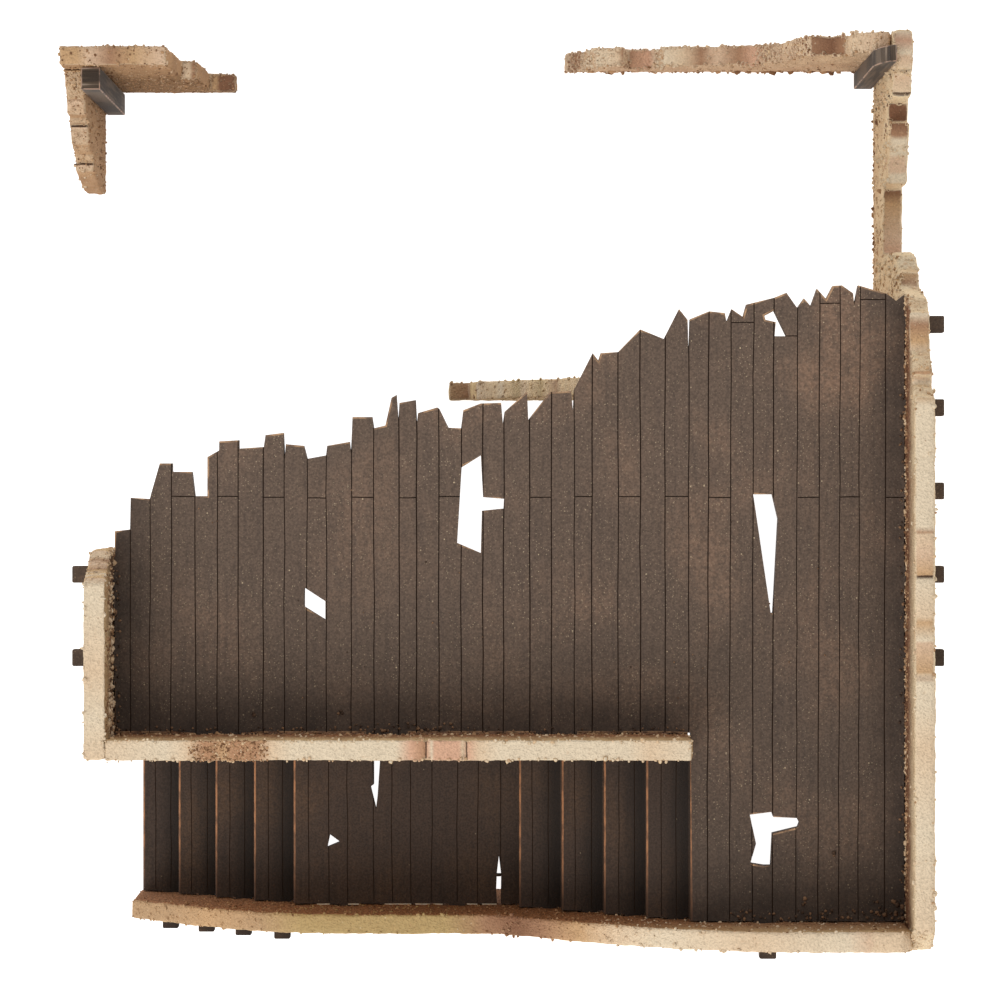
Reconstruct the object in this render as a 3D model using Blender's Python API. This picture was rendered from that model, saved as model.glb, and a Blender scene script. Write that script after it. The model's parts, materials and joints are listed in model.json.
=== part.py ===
"""Ruined two-storey adobe house for tabletop games, cut from 3 mm board.

The upper floor hangs on tabs that pass through slots in the walls and stand out like beam ends.
A stair of treads on risers climbs between the front wall and a sweeping parapet. A separate
corner of ruined wall, with its own post, stands beside the house.

Lengths in this file are millimetres; MM turns them into metres. The origin is the middle of the
footprint on the table: +X to the right, +Y to the back, +Z up. Figures stand on the floor at 28 mm
scale.
"""

import math

import bmesh
import bpy
from mathutils import Vector

MM = 0.001

# Driving dimensions.
BOARD = 3.0            # thickness of the cut board
WALL = 3.5             # a wall board with its coat of sand
GAP = 0.3              # clearance between neighbouring pieces
RISE = 7.0             # height of one stair
LEVELS = 10            # stairs from the table to the upper floor
STOREY = RISE * LEVELS
WALL_TOP = 88.0        # top of the walls round the upper floor
HALF_X = 78.6          # half the footprint, over the beam ends and the loose corner
HALF_Y = 83.5
LOOSE_WALL = 3.3       # wall of the loose corner

# Faces of the walls.
RIGHT_OUT = 75.3
RIGHT_IN = RIGHT_OUT - WALL
BACK_OUT = HALF_Y
BACK_IN = BACK_OUT - WALL
PARAPET_OUT = -80.6
PARAPET_IN = PARAPET_OUT + WALL
LEFT_OUT = -72.0
LEFT_IN = LEFT_OUT + WALL
FRONT_OUT = -47.3
FRONT_IN = FRONT_OUT + WALL
FRONT_END = 33.3
PARTITION_IN = 16.9
PARTITION_OUT = PARTITION_IN + BOARD + 0.2
PARTITION_TABS = ((14.0, 22.0), (44.0, 52.0))

# The floor's tabs, which pass through the walls and look like beam ends.
TAB = 3.0
TAB_PITCH = 14.75
TAB_FIRST_Y = 28.8
TAB_LINES = [TAB_FIRST_Y - TAB_PITCH * row for row in range(5)]
LEFT_TAB_LINES = TAB_LINES[3:]
LEFT_TAB_END = -75.7
LOWER_TREAD_TAB_END = -84.0
PARAPET_TAB_X = 47.4
FRONT_TABS = (-50.0, -20.0, 10.0)
FRONT_TAB_WIDTH = 8.0

# The stair. Every tread reaches one board under the next, where a riser stands on it.
LOWER_FRONTS = (-68.1, -60.8, -53.4, -45.8)
LANDING_FRONT = -38.1
UPPER_FRONTS = (3.5, 11.2, 18.7, 26.1)
FLOOR_FRONT = 33.7
TREAD_DEPTH = 10.5
STAIR_BACK = FRONT_OUT - GAP
STAIR_FRONT = PARAPET_IN + GAP
LANDING_TABS = (-28.0, -8.0)

# The loose corner.
LOOSE_LEFT_OUT = -79.1
LOOSE_LEFT_IN = LOOSE_LEFT_OUT + LOOSE_WALL
LOOSE_BACK_OUT = 79.3
LOOSE_BACK_IN = LOOSE_BACK_OUT - LOOSE_WALL

# The posts.
POST_WIDTH = 3.5
LOOSE_POST_WIDTH = 3.4
LOOSE_POST_DEPTH = 4.0
LOOSE_POST_TOP = 55.0

# Colours: linear red, green, blue.
SAND = (0.60, 0.45, 0.28)
DARK_SAND = (0.42, 0.27, 0.15)
PLANK = (0.075, 0.052, 0.038)
STAIR = (0.045, 0.031, 0.023)
CHAR = (0.060, 0.052, 0.046)

PLACE = {
    "xy": lambda u, v, w: (u, v, w),
    "xz": lambda u, v, w: (u, w, v),
    "yz": lambda u, v, w: (w, u, v),
}


def clear_scene():
    for obj in list(bpy.data.objects):
        bpy.data.objects.remove(obj, do_unlink=True)


def add_prism(shape, plane, outline, low, high):
    """Extrude a closed outline from low to high along the normal of its plane."""
    place = PLACE[plane]
    ring = [shape.verts.new(Vector(place(u, v, low)) * MM) for u, v in outline]
    face = shape.faces.new(ring)
    made = bmesh.ops.extrude_face_region(shape, geom=[face])["geom"]
    moved = [item for item in made if isinstance(item, bmesh.types.BMVert)]
    bmesh.ops.translate(shape, verts=moved, vec=Vector(place(0, 0, high - low)) * MM)


def prisms(name, parts):
    """One object made of a closed prism for each (plane, outline, low, high)."""
    shape = bmesh.new()
    for part in parts:
        add_prism(shape, *part)
    bmesh.ops.recalc_face_normals(shape, faces=shape.faces)
    mesh = bpy.data.meshes.new(name)
    shape.to_mesh(mesh)
    shape.free()
    obj = bpy.data.objects.new(name, mesh)
    bpy.context.scene.collection.objects.link(obj)
    return obj


def paint(obj, colour, roughness):
    """Give the object a painted finish of its own."""
    material = bpy.data.materials.new(obj.name + "_paint")
    material.use_nodes = True
    shader = material.node_tree.nodes["Principled BSDF"]
    shader.inputs["Base Color"].default_value = (*colour, 1.0)
    shader.inputs["Roughness"].default_value = roughness
    shader.inputs["Metallic"].default_value = 0.0
    obj.data.materials.append(material)


def board(name, plane, outline, low, high, colour, roughness=0.85):
    obj = prisms(name, [(plane, outline, low, high)])
    paint(obj, colour, roughness)
    return obj


def box(x_pair, y_pair, z_pair):
    """A box as a prism along Z; each pair may run either way."""
    x_low, x_high = sorted(x_pair)
    y_low, y_high = sorted(y_pair)
    outline = [(x_low, y_low), (x_high, y_low), (x_high, y_high), (x_low, y_high)]
    return ("xy", outline, min(z_pair), max(z_pair))


def cut(target, purpose, parts):
    """Cut prisms out of the target with a Boolean, and keep the cutter as a hidden guide."""
    cutter = prisms(target.name + "_" + purpose, parts)
    cutter.hide_render = True
    cutter.display_type = "WIRE"
    modifier = target.modifiers.new(purpose, "BOOLEAN")
    modifier.operation = "DIFFERENCE"
    modifier.solver = "EXACT"
    modifier.object = cutter


def finger_joint(y_wall, x_wall, x_faces, y_faces, heights):
    """Box joint at a corner. x_faces are the inner and outer faces of the wall along Y, and
    y_faces those of the wall along X. The wall along X owns the first band of heights."""
    x_in, x_out = x_faces
    y_in, y_out = y_faces
    x_way = math.copysign(1.0, x_out - x_in)
    y_way = math.copysign(1.0, y_out - y_in)
    y_wall_cuts = []
    x_wall_cuts = []
    for band, (low, high) in enumerate(zip(heights, heights[1:])):
        z_pair = (low - GAP / 2, high + GAP / 2)
        if band % 2 == 0:
            x_pair = (x_in - x_way, x_out + x_way)
            y_pair = (y_in - GAP * y_way, y_out + y_way)
            y_wall_cuts.append(box(x_pair, y_pair, z_pair))
        else:
            x_pair = (x_in - GAP * x_way, x_out + x_way)
            y_pair = (y_in - y_way, y_out + y_way)
            x_wall_cuts.append(box(x_pair, y_pair, z_pair))
    cut(y_wall, "fingers_" + x_wall.name, y_wall_cuts)
    cut(x_wall, "fingers_" + y_wall.name, x_wall_cuts)


def slot(x_pair, y_pair, z_pair, through):
    """A slot for a tab of this box, opened by GAP all round and run past both faces of the
    wall along the axis named by through."""
    spread = {"x": (1.0, GAP, GAP), "y": (GAP, 1.0, GAP)}[through]
    pairs = []
    for pair, more in zip((x_pair, y_pair, z_pair), spread):
        pairs.append((min(pair) - more, max(pair) + more))
    return box(*pairs)


def quarter_sweep(start, end, steps=12):
    """Points on a quarter of a sine wave, steep at start and level at end."""
    points = []
    for step in range(1, steps + 1):
        turn = step / steps
        rise = math.sin(turn * math.pi / 2)
        u = start[0] + (end[0] - start[0]) * turn
        v = start[1] + (end[1] - start[1]) * rise
        points.append((round(u, 2), round(v, 2)))
    return points


# ---------------------------------------------------------------- walls

def right_wall_outline():
    """Broken down to waist height at the back, whole at the front; (y, z)."""
    top = [
        (83.5, 45.0), (80.5, 46.0), (76.0, 44.5), (75.6, 43.0), (71.6, 42.0),
        (71.2, 34.5), (67.4, 34.0), (67.0, 38.0), (64.6, 37.0), (60.0, 34.0),
        (56.2, 33.0), (55.9, 23.0), (43.4, 22.5), (42.9, 44.0), (42.0, 51.5),
        (39.3, 54.0), (38.6, 57.0), (35.4, 59.0), (34.6, 65.0), (33.2, 73.5),
        (31.2, 75.0), (30.8, 77.5), (23.5, 77.8), (22.8, 80.0), (19.6, 83.5),
        (19.2, 81.8), (17.6, 82.0), (17.2, 84.5), (15.8, 85.5), (15.5, WALL_TOP),
    ]
    for crack in (-7.8, -11.6, -15.4):
        top += [(crack + 0.4, WALL_TOP), (crack, WALL_TOP - 1.4), (crack - 0.4, WALL_TOP)]
    top += [(-77.0, WALL_TOP), (-79.2, 85.0), (PARAPET_OUT, 82.0)]
    return [(BACK_OUT, 0.0)] + top + [(PARAPET_OUT, 0.0)]


def back_wall_outline():
    """Low ruin that rises to the corner; (x, z)."""
    top = [
        (12.6, 1.5), (15.9, 4.0), (18.2, 10.0), (23.3, 12.6), (24.4, 8.0),
        (29.8, 7.0), (30.9, 13.0), (38.6, 13.0), (48.7, 16.0), (52.8, 20.0),
        (54.6, 27.0), (57.8, 32.6), (64.3, 33.0), (64.6, 39.0), (70.0, 42.0),
    ]
    return [(12.4, 0.0)] + top + [(RIGHT_OUT, 42.0), (RIGHT_OUT, 0.0)]


def left_wall_outline():
    """Whole wall whose back end is chipped; (y, z)."""
    top = [(-11.1, 75.0), (-12.6, 77.5), (-14.5, 81.5), (-15.8, 86.0), (-17.0, WALL_TOP)]
    return [(-11.1, 0.0)] + top + [(FRONT_OUT, WALL_TOP), (FRONT_OUT, 0.0)]


def front_wall_outline():
    """Whole wall with two cracked joints in its top; (x, z)."""
    top = [(FRONT_END, WALL_TOP)]
    for crack in (-5.7, -12.8):
        top += [(crack + 0.3, WALL_TOP), (crack, WALL_TOP - 1.2), (crack - 0.3, WALL_TOP)]
    return [(LEFT_OUT, 0.0), (FRONT_END, 0.0)] + top + [(LEFT_OUT, WALL_TOP)]


def parapet_outline():
    """One sweep of the top for each flight of the stair; (x, z)."""
    foot = (-68.9, 22.6)
    landing = (-28.0, 54.0)
    landing_end = (-0.7, 54.0)
    crest = (52.5, WALL_TOP)
    top = [foot] + quarter_sweep(foot, landing) + [landing_end] + quarter_sweep(landing_end, crest)
    top += [(69.5, WALL_TOP), (RIGHT_IN - GAP, 85.5)]
    return [(foot[0], 0.0)] + top + [(RIGHT_OUT, 85.5), (RIGHT_OUT, 0.0)]


def partition_outline():
    """Ground-floor wall, broken at its left end and whole under the floor; (x, z)."""
    under_floor = STOREY - BOARD - GAP
    top = [
        (-9.6, 2.5), (-5.6, 3.5), (-5.2, 7.0), (-4.4, 10.5), (-1.0, 14.5),
        (4.5, 22.0), (9.0, 30.0), (14.0, 39.5), (19.0, 47.0), (21.0, 55.0),
        (26.0, 58.0), (29.0, under_floor),
    ]
    right = RIGHT_IN - GAP
    tabs = []
    for low, high in PARTITION_TABS[::-1]:
        tabs += [(right, high), (RIGHT_OUT, high), (RIGHT_OUT, low), (right, low)]
    return [(-9.8, 0.0)] + top + [(right, under_floor)] + tabs + [(right, 0.0)]


def floor_slots(lines, x_pair):
    """Slots in a side wall for the floor's tabs on these lines."""
    floor = (STOREY - BOARD, STOREY)
    return [slot(x_pair, (y - TAB / 2, y + TAB / 2), floor, "x") for y in lines]


def stair_slots(y_pair):
    """Slots for the tabs of the treads and of the landing."""
    slots = []
    for level, front in tread_fronts():
        middle = front + TREAD_DEPTH / 2
        top = level * RISE
        slots.append(slot((middle - TAB / 2, middle + TAB / 2), y_pair, (top - BOARD, top), "y"))
    landing_top = RISE * (len(LOWER_FRONTS) + 1)
    for x in LANDING_TABS:
        z_pair = (landing_top - BOARD, landing_top)
        slots.append(slot((x - TAB / 2, x + TAB / 2), y_pair, z_pair, "y"))
    return slots


def tread_fronts():
    """(level, front edge) of each tread; the landing takes the level between the flights."""
    fronts = list(enumerate(LOWER_FRONTS, start=1))
    fronts += list(enumerate(UPPER_FRONTS, start=len(LOWER_FRONTS) + 2))
    return fronts


def make_walls():
    right = board("right_wall", "yz", right_wall_outline(), RIGHT_IN, RIGHT_OUT, SAND)
    back = board("back_wall", "xz", back_wall_outline(), BACK_IN, BACK_OUT, SAND)
    left = board("left_wall", "yz", left_wall_outline(), LEFT_OUT, LEFT_IN, SAND)
    front = board("front_wall", "xz", front_wall_outline(), FRONT_OUT, FRONT_IN, SAND)
    parapet = board("stair_parapet", "xz", parapet_outline(), PARAPET_OUT, PARAPET_IN, SAND)
    board("partition_wall", "xz", partition_outline(), PARTITION_IN, PARTITION_OUT, DARK_SAND)

    side_faces = (RIGHT_IN, RIGHT_OUT)
    above = WALL_TOP + 5.0
    finger_joint(right, back, side_faces, (BACK_IN, BACK_OUT), (-1.0, 11.5, 23.0, 34.5, above))
    tall = (-1.0, 21.0, 43.0, 64.5, above)
    finger_joint(right, parapet, side_faces, (PARAPET_IN, PARAPET_OUT), tall)
    finger_joint(left, front, (LEFT_IN, LEFT_OUT), (FRONT_IN, FRONT_OUT), tall)

    partition_slots = []
    for z_pair in PARTITION_TABS:
        partition_slots.append(slot(side_faces, (PARTITION_IN, PARTITION_OUT), z_pair, "x"))
    cut(right, "slots", floor_slots(TAB_LINES, side_faces) + partition_slots)
    cut(left, "slots", floor_slots(LEFT_TAB_LINES, (LEFT_OUT, LEFT_IN)))

    floor = (STOREY - BOARD, STOREY)
    front_faces = (FRONT_OUT, FRONT_IN)
    front_slots = stair_slots(front_faces)
    for x in FRONT_TABS:
        x_pair = (x - FRONT_TAB_WIDTH / 2, x + FRONT_TAB_WIDTH / 2)
        front_slots.append(slot(x_pair, front_faces, floor, "y"))
    cut(front, "slots", front_slots)

    parapet_faces = (PARAPET_OUT, PARAPET_IN)
    beam_end = (PARAPET_TAB_X - TAB / 2, PARAPET_TAB_X + TAB / 2)
    cut(parapet, "slots", stair_slots(parapet_faces) + [slot(beam_end, parapet_faces, floor, "y")])


def make_corner_post():
    """Charred post in the back corner, its top burnt away in a curve; (x, z)."""
    right = RIGHT_IN - GAP
    left = right - POST_WIDTH
    burnt_top = [(right, 56.0), (right - 1.2, 55.0), (right - 2.6, 51.5), (left, 46.0)]
    outline = [(left, 0.0), (right, 0.0)] + burnt_top
    back = BACK_IN - GAP
    board("corner_post", "xz", outline, back - BOARD, back, CHAR, 0.7)


# ---------------------------------------------------------------- upper floor

# The broken edge, from the left wall to the right: one row for each plank or pair of planks,
# so that each row reads as the splintered end of that plank; (x, y).
BROKEN_PLANKS = (
    ((-65.5, -7.5), (-65.4, -1.9)),
    ((-62.0, -2.1), (-60.2, 4.2)),
    ((-58.0, 4.2), (-58.0, 2.7)),
    ((-54.5, 2.7), (-54.0, -1.6)),
    ((-51.8, -1.6), (-51.8, 5.3), (-49.7, 6.5), (-49.7, 8.1)),
    ((-46.2, 8.3), (-46.2, 6.8)),
    ((-41.8, 7.1), (-41.5, 9.2)),
    ((-38.3, 9.6), (-38.1, 4.7), (-37.9, 7.6)),
    ((-34.7, 7.3), (-34.1, 5.0)),
    ((-30.8, 5.6), (-30.6, 7.3)),
    ((-26.6, 8.0), (-26.4, 6.0), (-26.1, 12.4)),
    ((-22.6, 12.4), (-22.3, 10.4)),
    ((-20.3, 10.9), (-19.2, 15.8), (-18.3, 16.3), (-18.0, 11.9), (-17.8, 14.9)),
    ((-14.9, 15.4), (-14.7, 11.3), (-14.5, 13.1)),
    ((-11.1, 14.1), (-10.7, 13.8), (-9.1, 10.5)),
    ((-6.9, 10.4), (-6.5, 13.6), (-3.4, 14.8)),
    ((0.2, 14.9), (0.5, 11.3), (0.8, 13.3)),
    ((4.8, 16.9), (5.0, 11.9)),
    ((8.8, 16.8),),
    ((12.6, 17.0), (12.9, 13.4), (13.1, 17.2)),
    ((16.4, 23.7), (17.4, 22.4), (17.8, 23.7)),
    ((20.9, 23.9), (24.8, 27.9)),
    ((29.0, 26.2), (31.7, 31.5)),
    ((33.2, 29.6), (33.4, 23.2), (33.6, 29.7)),
    ((37.0, 31.1), (39.8, 30.8), (40.1, 29.2)),
    ((41.0, 31.5), (43.0, 30.1), (43.6, 32.3)),
    ((48.5, 33.5), (50.7, 34.4), (52.6, 31.7)),
    ((53.8, 33.4), (55.0, 32.0), (56.1, 35.1)),
    ((57.7, 33.3), (58.9, 35.6)),
    ((60.5, 35.7), (62.5, 34.3), (62.7, 32.2), (63.4, 35.7)),
    ((68.5, 34.2), (70.1, 32.9)),
)

# Holes where boards have rotted through; (x, y).
FLOOR_HOLES = (
    ((-34.6, -17.8), (-34.6, -21.2), (-30.9, -23.5), (-30.9, -20.2)),
    ((-6.8, 3.5), (-7.6, -9.9), (-3.4, -11.7), (-3.2, -4.2), (0.6, -3.8), (0.7, -2.1),
     (-3.0, -1.8), (-3.4, 5.6)),
    ((44.8, -1.3), (47.9, -22.3), (48.3, -22.3), (49.2, -5.6), (48.2, -1.3)),
    ((44.2, -58.0), (45.3, -63.1), (44.3, -66.6), (46.7, -67.0), (47.9, -67.0), (48.2, -61.3),
     (52.7, -60.2), (53.0, -59.4), (52.6, -58.6), (48.4, -58.4), (48.1, -57.5)),
    ((46.8, 30.3), (47.0, 29.6), (48.8, 29.2), (48.6, 26.7), (50.7, 26.7), (48.5, 31.2)),
)


def side_tabs(edge, end, lines):
    """Outline points of tabs that stand out of a side edge, in the order of lines."""
    points = []
    for y in lines:
        step = TAB / 2 if lines[0] < lines[-1] else -TAB / 2
        points += [(edge, y - step), (end, y - step), (end, y + step), (edge, y + step)]
    return points


def floor_outline():
    """L-shaped floor, anticlockwise from its front left corner; (x, y)."""
    left = LEFT_IN + GAP
    right = RIGHT_IN - GAP
    front = FRONT_IN + GAP
    points = [(left, front)]
    for x in FRONT_TABS:
        low = x - FRONT_TAB_WIDTH / 2
        high = x + FRONT_TAB_WIDTH / 2
        points += [(low, front), (low, FRONT_OUT), (high, FRONT_OUT), (high, front)]
    points += [(FLOOR_FRONT, front), (FLOOR_FRONT, STAIR_FRONT)]
    beam_low = PARAPET_TAB_X - TAB / 2
    beam_high = PARAPET_TAB_X + TAB / 2
    points += [(beam_low, STAIR_FRONT), (beam_low, -HALF_Y)]
    points += [(beam_high, -HALF_Y), (beam_high, STAIR_FRONT), (right, STAIR_FRONT)]
    points += side_tabs(right, HALF_X, TAB_LINES[::-1])
    points.append((right, 34.0))
    for row in BROKEN_PLANKS[::-1]:
        points += row[::-1]
    points.append((left, -7.8))
    points += side_tabs(left, LEFT_TAB_END, LEFT_TAB_LINES)
    return points


def make_floor():
    floor = board("floor_panel", "xy", floor_outline(), STOREY - BOARD, STOREY, PLANK)
    holes = [("xy", hole, STOREY - BOARD - 1.0, STOREY + 1.0) for hole in FLOOR_HOLES]
    cut(floor, "holes", holes)


# ---------------------------------------------------------------- stair

def step_outline(front, back, tabs, tab_end):
    """A stair board with tabs into the front wall and into or through the parapet; (x, y)."""
    points = [(front, STAIR_FRONT)]
    for x in tabs:
        low, high = x - TAB / 2, x + TAB / 2
        points += [(low, STAIR_FRONT), (low, tab_end), (high, tab_end), (high, STAIR_FRONT)]
    points += [(back, STAIR_FRONT), (back, STAIR_BACK)]
    for x in tabs[::-1]:
        low, high = x - TAB / 2, x + TAB / 2
        points += [(high, STAIR_BACK), (high, FRONT_IN), (low, FRONT_IN), (low, STAIR_BACK)]
    return points + [(front, STAIR_BACK)]


def make_treads():
    """The tabs of the lower flight stand out of the parapet; the others end in its face."""
    for number, (level, front) in enumerate(tread_fronts(), start=1):
        tab_end = LOWER_TREAD_TAB_END if number <= len(LOWER_FRONTS) else PARAPET_OUT
        outline = step_outline(front, front + TREAD_DEPTH, [front + TREAD_DEPTH / 2], tab_end)
        top = level * RISE
        board(f"tread_{number}", "xy", outline, top - BOARD, top, STAIR, 0.8)


def make_landing():
    top = RISE * (len(LOWER_FRONTS) + 1)
    back = UPPER_FRONTS[0] + BOARD
    outline = step_outline(LANDING_FRONT, back, list(LANDING_TABS), PARAPET_OUT)
    landing = board("stair_landing", "xy", outline, top - BOARD, top, STAIR, 0.8)
    split_at_wall = ((-23.3, STAIR_BACK + 1.0), (-23.3, -54.8), (-23.9, -55.2), (-22.9, -59.3),
                     (-22.6, -56.9), (-21.9, STAIR_BACK + 1.0))
    knot = ((-31.4, -64.0), (-31.9, -66.4), (-29.5, -65.4))
    split = ((-0.2, -68.0), (-0.6, -71.4), (0.2, -71.4))
    split_at_parapet = ((-0.6, -71.8), (-0.7, -74.5), (-0.5, STAIR_FRONT - 1.0),
                        (0.1, STAIR_FRONT - 1.0), (0.2, -71.8))
    holes = []
    for hole in (split_at_wall, knot, split, split_at_parapet):
        holes.append(("xy", hole, top - BOARD - 1.0, top + 1.0))
    cut(landing, "holes", holes)


def make_risers():
    """Boards on edge that carry the front of each step on the back of the step below."""
    fronts = LOWER_FRONTS + (LANDING_FRONT,) + UPPER_FRONTS + (FLOOR_FRONT,)
    for level, front in enumerate(fronts, start=1):
        low = (level - 1) * RISE + GAP if level > 1 else 0.0
        high = level * RISE - BOARD - GAP
        shape = box((front, front + BOARD), (STAIR_FRONT, STAIR_BACK), (low, high))
        board(f"riser_{level:02d}", *shape, STAIR, 0.8)


# ---------------------------------------------------------------- loose corner

def make_loose_corner():
    back_top = [
        (-60.1, 57.0), (-59.6, 47.0), (-59.2, 29.5), (-56.4, 29.0), (-55.9, 20.0),
        (-55.6, 4.5), (-50.6, 3.0),
    ]
    back_outline = [(LOOSE_LEFT_OUT, 0.0), (LOOSE_LEFT_OUT, 57.0)] + back_top + [(-50.6, 0.0)]
    side_top = [
        (LOOSE_BACK_OUT, 52.0), (76.0, 50.0), (71.0, 43.5), (68.3, 42.0), (68.1, 38.5),
        (63.5, 34.0), (62.4, 31.0), (62.2, 27.5), (59.2, 25.0), (58.2, 20.0), (56.8, 11.5),
        (56.5, 8.0),
    ]
    side_outline = [(LOOSE_BACK_OUT, 0.0)] + side_top + [(56.5, 0.0)]
    back_faces = (LOOSE_BACK_IN, LOOSE_BACK_OUT)
    side_faces = (LOOSE_LEFT_IN, LOOSE_LEFT_OUT)
    back = board("loose_back_wall", "xz", back_outline, *back_faces, DARK_SAND)
    side = board("loose_side_wall", "yz", side_outline, *side_faces[::-1], DARK_SAND)
    bands = (-1.0, 12.5, 25.0, 37.5, 60.0)
    # The side wall owns the foot of this corner, so a thin first band hands it over.
    finger_joint(side, back, side_faces, back_faces, (-3.0,) + bands)

    left = LOOSE_LEFT_IN + GAP
    behind = LOOSE_BACK_IN - GAP
    y_pair = (behind - LOOSE_POST_DEPTH, behind)
    post = box((left, left + LOOSE_POST_WIDTH), y_pair, (0.0, LOOSE_POST_TOP))
    board("loose_corner_post", *post, CHAR, 0.7)


def main():
    clear_scene()
    make_walls()
    make_corner_post()
    make_floor()
    make_treads()
    make_landing()
    make_risers()
    make_loose_corner()


main()
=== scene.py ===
"""Looks of the ruined adobe house: sanded walls, scored and worn planks, charred posts.

Every detailed piece starts from the mesh of the CAD node that it stands for, so its outline is
the CAD's. Lengths are millimetres, and MM turns them into metres.
"""

import json
import math
import random

import bmesh
import bpy
import numpy as np
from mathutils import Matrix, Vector, noise

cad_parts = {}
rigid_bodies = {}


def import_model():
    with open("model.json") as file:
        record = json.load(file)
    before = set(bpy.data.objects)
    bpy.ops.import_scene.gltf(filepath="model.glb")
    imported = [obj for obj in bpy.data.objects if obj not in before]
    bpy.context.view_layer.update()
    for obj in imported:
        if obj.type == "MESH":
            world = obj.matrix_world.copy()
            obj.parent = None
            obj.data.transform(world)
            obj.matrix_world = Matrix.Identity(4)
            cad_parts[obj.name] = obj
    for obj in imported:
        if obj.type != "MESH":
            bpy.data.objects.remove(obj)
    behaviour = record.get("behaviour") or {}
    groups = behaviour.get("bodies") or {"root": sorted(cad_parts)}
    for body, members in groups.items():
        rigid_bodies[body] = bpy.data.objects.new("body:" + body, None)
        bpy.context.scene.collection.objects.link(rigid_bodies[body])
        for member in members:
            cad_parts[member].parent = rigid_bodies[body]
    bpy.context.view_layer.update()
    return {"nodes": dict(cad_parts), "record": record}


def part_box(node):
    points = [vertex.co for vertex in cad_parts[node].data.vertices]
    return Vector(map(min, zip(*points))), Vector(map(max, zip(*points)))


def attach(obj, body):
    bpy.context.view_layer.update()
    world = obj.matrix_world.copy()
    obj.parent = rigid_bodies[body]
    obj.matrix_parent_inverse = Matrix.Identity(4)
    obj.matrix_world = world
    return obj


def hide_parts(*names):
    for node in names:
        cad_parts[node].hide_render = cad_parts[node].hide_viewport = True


MM = 0.001

# Heights and faces that the details follow, as in the CAD.
FLOOR_TOP = 70.0
LANDING_TOP = 35.0
FRONT_WALL_Y = -43.8
FRONT_WALL_END = 33.3
STAIR_HEAD = 33.7
STAIR_MIDDLE_Y = -58.0
RISERS = 10

# Camera, straight above the ruin.
CAMERA_HEIGHT = 0.875
CAMERA_Y = -0.0023
FOCAL_LENGTH = 163.8

# Ends of the floor's scored lines (y): behind it, in front of it, and in front beside the stair.
FLOOR_SCORE_BACK = 37.5
FLOOR_SCORE_FRONT = -49.0
HEAD_SCORE_FRONT = -80.0

# Scored lines between planks of the upper floor (x), and the short joints across them.
FLOOR_LINES = (
    -65.4, -61.9, -58.1, -54.0, -50.1, -46.2, -41.8, -38.1, -34.1, -30.8, -26.2, -22.3,
    -17.9, -14.8, -10.9, -6.9, -3.0, 0.7, 5.3, 9.1, 13.1, 16.3, 20.9, 24.8, 29.2, 33.4,
    37.0, 40.9, 44.9, 48.5, 52.7, 56.6, 60.2, 63.7, 68.3,
)
FLOOR_JOINTS_Y = -1.8
FLOOR_JOINTS = (
    (-58.1, -54.0), (-50.1, -46.2), (-41.8, -38.1), (-34.1, -30.8), (-26.2, -22.3),
    (-17.9, -14.8), (-10.9, -6.9), (5.3, 9.1), (13.1, 16.3), (20.9, 24.8), (29.2, 33.4),
    (37.0, 40.9), (52.7, 56.6), (60.2, 63.7), (68.3, 71.4),
)
# More joints, near the broken edge: (left x, right x, y).
EXTRA_JOINTS = ((41.0, 44.9, 29.1), (48.6, 52.7, 26.7), (56.6, 60.2, 32.5), (63.7, 68.3, 33.2))

# Scored lines of the landing (x), and of a tread, measured back from its front edge.
LANDING_LINES = (-35.3, -31.6, -28.1, -23.3, -19.9, -16.4, -12.6, -7.9, -4.2, 0.2)
TREAD_LINES = (2.5, 5.5)
STAIR_SCORE_FRONT = -76.5
STAIR_SCORE_BACK = -47.9

# Crumbs of dry mud on the floor: count, span in x, span in y, largest radius.
FLOOR_CRUMBS = (
    (110, (-68.0, 33.0), (-43.4, -42.4), 0.30), (36, (-26.0, -8.0), (-43.4, -41.8), 0.38),
    (3, (-44.2, -43.2), (-40.6, -39.8), 0.55), (3, (-28.8, -27.6), (-40.4, -39.6), 0.42),
    (60, (-68.2, -67.2), (-43.0, -14.0), 0.34), (70, (40.0, 71.0), (-76.6, -74.8), 0.38),
    (26, (66.0, 71.4), (-76.6, -73.0), 0.55), (4, (53.6, 54.8), (-74.0, -72.4), 0.50),
    (3, (58.2, 59.2), (-65.2, -64.4), 0.45), (60, (70.6, 71.5), (-74.0, 24.0), 0.34),
    (40, (-60.0, 60.0), (-38.0, 0.0), 0.22),
)

# Depths of the scored lines, and how far their cutters stand above the board.
FLOOR_SCORE_DEPTH = 0.45
LANDING_SCORE_DEPTH = 0.35
TREAD_SCORE_DEPTH = 0.3
SCORE_ABOVE = 0.4

# Widths of the rounded edges.
WORN_RIM = 0.32
WORN_HEAD = 0.40
WORN_NOSING = 0.35
ROUNDED_TAB = 0.35
WORN_POST = 0.18

# Beads of pale glue between the landing and the parapet: their line (y) and spans (x).
GLUE_Y = -76.9
GLUE_LINES = (
    (-33.8, -31.4), (-28.0, -26.0), (-21.3, -16.4), (-15.6, -13.0), (-12.3, -10.6),
    (-6.1, -4.2), (-3.3, -0.6),
)

# Front edge of the first step of each flight (x), and the distance from step to step.
LOWER_FRONT = -68.1
LOWER_GOING = 7.43
UPPER_FRONT = 3.5
UPPER_GOING = 7.53


def clear_scene():
    for obj in list(bpy.data.objects):
        bpy.data.objects.remove(obj, do_unlink=True)


clear_scene()
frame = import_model()


# ---------------------------------------------------------------- colours and nodes

def paint(red, green, blue):
    """Linear colour of an sRGB paint given from 0 to 255."""
    linear = []
    for value in (red, green, blue):
        share = value / 255
        linear.append(share / 12.92 if share <= 0.04045 else ((share + 0.055) / 1.055) ** 2.4)
    return (*linear, 1.0)


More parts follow.
